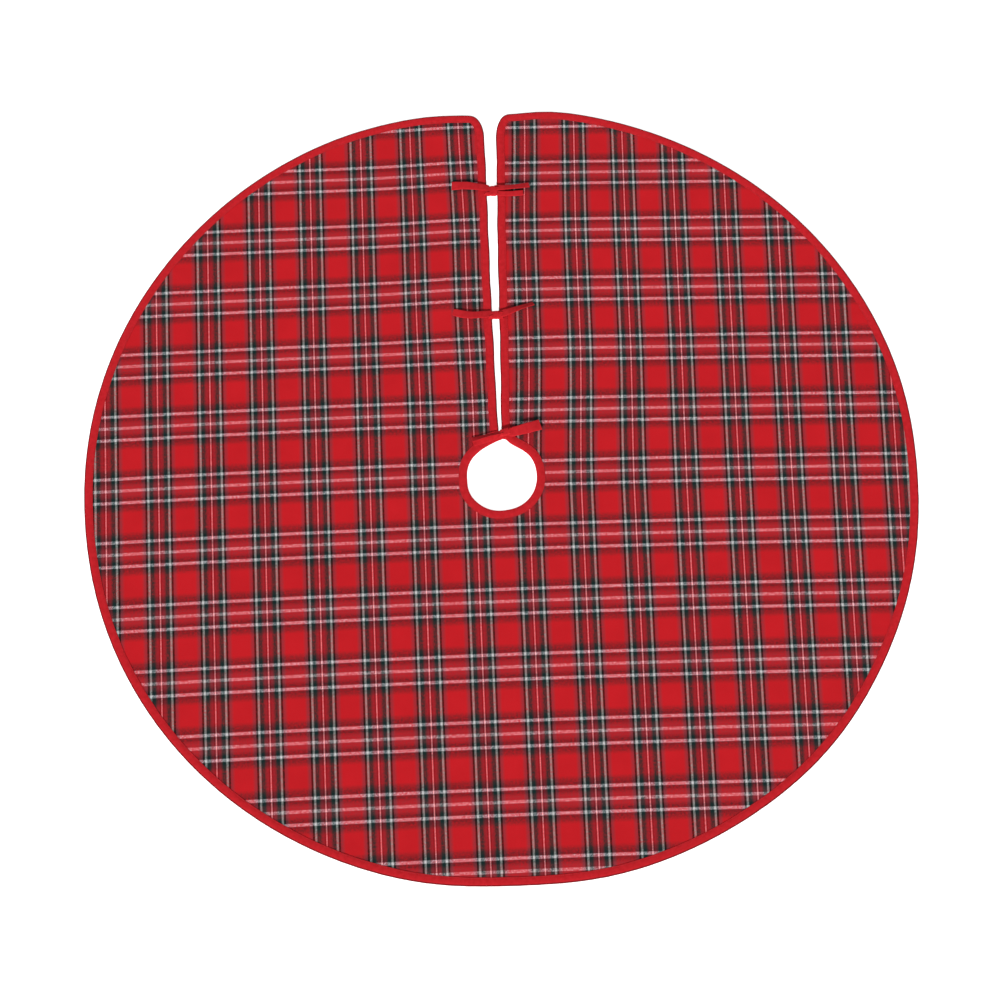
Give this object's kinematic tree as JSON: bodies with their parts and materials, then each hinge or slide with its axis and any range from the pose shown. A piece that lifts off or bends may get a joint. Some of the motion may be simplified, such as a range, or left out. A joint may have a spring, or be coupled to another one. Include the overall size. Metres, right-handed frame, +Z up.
{
  "type": "tree skirt",
  "caption": "Round plaid cloth skirt laid flat for the foot of a tree, with a central trunk hole, a slit from hole to hem closed by knotted cloth ties, and bound edges.",
  "frame": {"origin": "centre of the trunk hole, at floor level under the binding", "axes": "+Z up from the floor through the face cloth, +Y from the trunk hole along the slit to the hem, +X to the right of the slit seen from above"},
  "size_m": [1.2192, 1.2188, 0.009],
  "materials": {
    "face_cloth": "woven plaid cotton blend, red ground with green, black and white lines",
    "lining": "plain woven lining, matt red",
    "binding": "plain red bias tape, folded and topstitched",
    "tie": "plain red bias tape strip, soft and matt",
    "thread": "red polyester sewing thread, slight sheen"
  },
  "bodies": {
    "right_half": {"lining_right": "lining", "face_cloth_right": "face_cloth", "edge_binding_right": "binding", "neck_binding_right": "binding", "edge_seam_right": "thread", "neck_seam_right": "thread", "upper_knot": "tie", "upper_tie_root_right": "tie", "middle_knot": "tie", "middle_tie_root_right": "tie", "neck_knot": "tie", "neck_tie_root_right": "tie"},
    "left_half": {"lining_left": "lining", "face_cloth_left": "face_cloth", "edge_binding_left": "binding", "neck_binding_left": "binding", "edge_seam_left": "thread", "neck_seam_left": "thread", "upper_tie_root_left": "tie", "middle_tie_root_left": "tie", "neck_tie_root_left": "tie"},
    "upper_end_left": {"upper_tie_end_left": "tie"},
    "upper_end_right": {"upper_tie_end_right": "tie"},
    "middle_end_left": {"middle_tie_end_left": "tie"},
    "middle_end_right": {"middle_tie_end_right": "tie"},
    "neck_end_left": {"neck_tie_end_left": "tie"},
    "neck_end_right": {"neck_tie_end_right": "tie"}
  },
  "joints": [
    {"name": "fold_in_half", "type": "hinge", "parent": "right_half", "child": "left_half", "pos_m": [0, 0, -0.004], "axis": [0, -1, 0], "range_deg": [0, 180]},
    {"name": "upper_end_left_lift", "type": "hinge", "parent": "left_half", "child": "upper_end_left", "pos_m": [-0.01318, 0.47, 0.0044], "axis": [0.1038, 0.9946, 0], "range_deg": [0, 90]},
    {"name": "upper_end_right_lift", "type": "hinge", "parent": "right_half", "child": "upper_end_right", "pos_m": [0.00142, 0.47, 0.0044], "axis": [0.0732, -0.9973, 0], "range_deg": [0, 90]},
    {"name": "middle_end_left_lift", "type": "hinge", "parent": "left_half", "child": "middle_end_left", "pos_m": [-0.01069, 0.263, 0.0044], "axis": [0.0886, 0.9961, 0], "range_deg": [0, 90]},
    {"name": "middle_end_right_lift", "type": "hinge", "parent": "right_half", "child": "middle_end_right", "pos_m": [0.00391, 0.263, 0.0044], "axis": [0.3326, -0.9431, 0], "range_deg": [0, 90]},
    {"name": "neck_end_left_lift", "type": "hinge", "parent": "left_half", "child": "neck_end_left", "pos_m": [0.0007, 0.075, 0.0059], "axis": [-0.2495, 0.9684, 0], "range_deg": [0, 90]},
    {"name": "neck_end_right_lift", "type": "hinge", "parent": "right_half", "child": "neck_end_right", "pos_m": [0.0153, 0.075, 0.0059], "axis": [0.239, -0.971, 0], "range_deg": [0, 90]}
  ]
}
